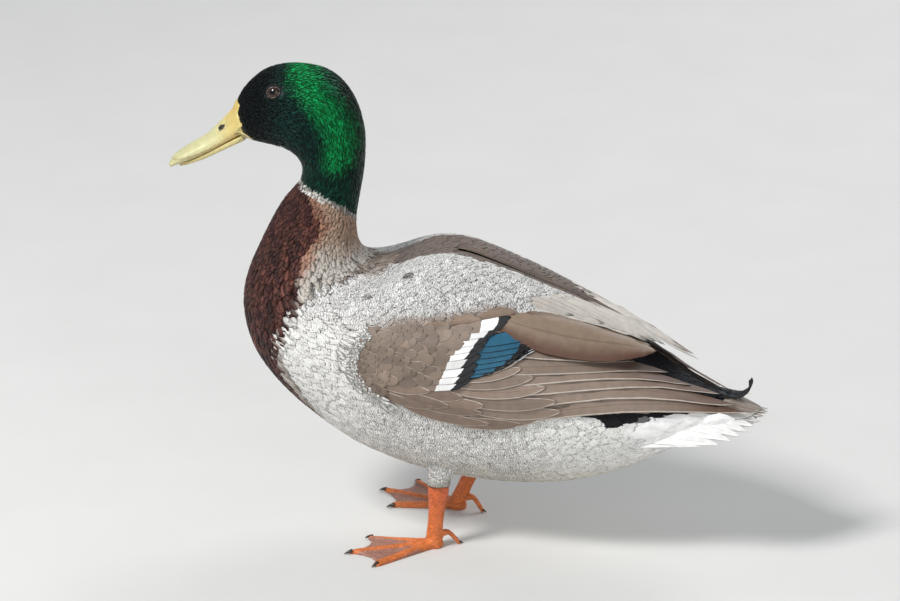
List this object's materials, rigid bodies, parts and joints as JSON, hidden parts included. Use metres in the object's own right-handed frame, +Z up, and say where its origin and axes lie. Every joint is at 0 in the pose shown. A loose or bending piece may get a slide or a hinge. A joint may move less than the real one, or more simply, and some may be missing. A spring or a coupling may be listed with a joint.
{
  "type": "mallard drake figure",
  "caption": "Life-size still model of a mallard drake, standing upright with wings folded and tail closed, looking straight ahead.",
  "frame": {"origin": "on the floor, under the middle of the duck's bounding box", "axes": "the duck faces -Y with its tail towards +Y, +X is its left side, +Z is up"},
  "size_m": [0.1392, 0.3694, 0.291],
  "materials": {
    "green_head": "glossy green feathers over skin",
    "chestnut_breast": "dark chestnut feathers over skin",
    "grey_flank": "pale grey finely barred feathers over skin",
    "black_rump": "black feathers with a slight sheen",
    "white_tail": "matte white feathers",
    "pale_scapulars": "matte pale feathers",
    "taupe_wing": "matte grey-brown feathers",
    "brown_tertials": "satin brown feathers",
    "brown_primaries": "satin grey-brown feathers",
    "yellow_bill": "satin horn, pale yellow",
    "orange_leg": "scaly orange skin",
    "dark_eye": "polished, nearly black"
  },
  "bodies": {
    "root": {"head": "green_head", "neck": "chestnut_breast", "trunk": "grey_flank", "rump": "black_rump", "tail": "white_tail", "curl_l": "black_rump", "curl_r": "black_rump", "bill_upper": "yellow_bill", "bill_lower": "yellow_bill", "eye_l": "dark_eye", "eye_r": "dark_eye", "scapulars_l": "pale_scapulars", "scapulars_r": "pale_scapulars", "wing_l": "taupe_wing", "wing_r": "taupe_wing", "tertials_l": "brown_tertials", "tertials_r": "brown_tertials", "primaries_l": "brown_primaries", "primaries_r": "brown_primaries", "thigh_l": "grey_flank", "thigh_r": "grey_flank", "tarsus_l": "orange_leg", "tarsus_r": "orange_leg", "foot_l": "orange_leg", "foot_r": "orange_leg", "hallux_l": "orange_leg", "hallux_r": "orange_leg"}
  },
  "joints": []
}
